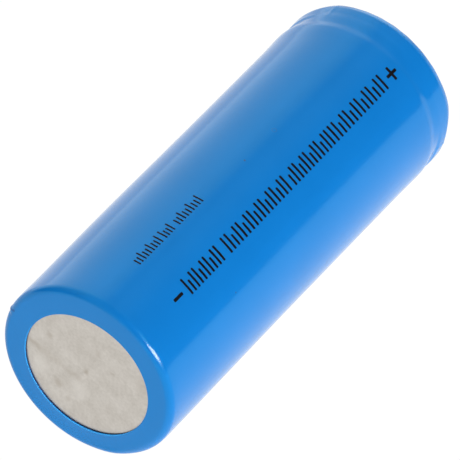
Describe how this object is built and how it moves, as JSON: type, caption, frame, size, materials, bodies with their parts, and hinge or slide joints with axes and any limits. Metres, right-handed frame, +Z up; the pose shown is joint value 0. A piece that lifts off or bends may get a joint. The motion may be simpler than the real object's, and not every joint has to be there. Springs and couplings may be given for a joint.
{
  "type": "cylindrical battery cell",
  "caption": "Cylindrical lithium-ion cell in a blue heat-shrunk sleeve, with a flat steel base, a bead groove and a flat-topped vented cap, lying on its side.",
  "frame": {"origin": "centre of the negative contact face, the bare steel of the can's base", "axes": "+X along the cell's axis towards the positive cap; +Z up, with the cell lying on its side; +Y completes the right-handed frame"},
  "size_m": [0.0496, 0.0184, 0.0184],
  "materials": {
    "sleeve_blue": "gloss",
    "print_black": "satin",
    "can_nickel": "satin",
    "cap_nickel": "satin",
    "washer_fibre": "matte",
    "gasket_black": "matte",
    "ptc_polymer": "matte",
    "vent_aluminium": "satin",
    "foil_aluminium": "satin",
    "foil_copper": "satin",
    "strip_nickel": "satin",
    "pin_steel": "satin",
    "insulator_white": "matte",
    "separator_film": "satin",
    "cathode_paste": "matte",
    "anode_paste": "matte",
    "tape_amber": "gloss"
  },
  "bodies": {
    "root": {"shrink_sleeve": "sleeve_blue", "steel_can": "can_nickel", "top_washer": "washer_fibre", "crimp_gasket": "gasket_black", "top_cap": "cap_nickel", "ptc_ring": "ptc_polymer", "vent_disc": "vent_aluminium", "cid_plate": "vent_aluminium", "cid_collar": "insulator_white", "separator_inner": "separator_film", "cathode_coating_inner": "cathode_paste", "cathode_foil": "foil_aluminium", "cathode_coating_outer": "cathode_paste", "separator_outer": "separator_film", "anode_coating_inner": "anode_paste", "anode_foil": "foil_copper", "anode_coating_outer": "anode_paste", "centre_pin": "pin_steel", "roll_end_tape": "tape_amber", "bottom_insulator": "insulator_white", "top_insulator": "insulator_white", "positive_tab": "foil_aluminium", "negative_tab": "strip_nickel", "positive_tab_tape": "tape_amber", "negative_tab_tape": "tape_amber"}
  },
  "joints": []
}
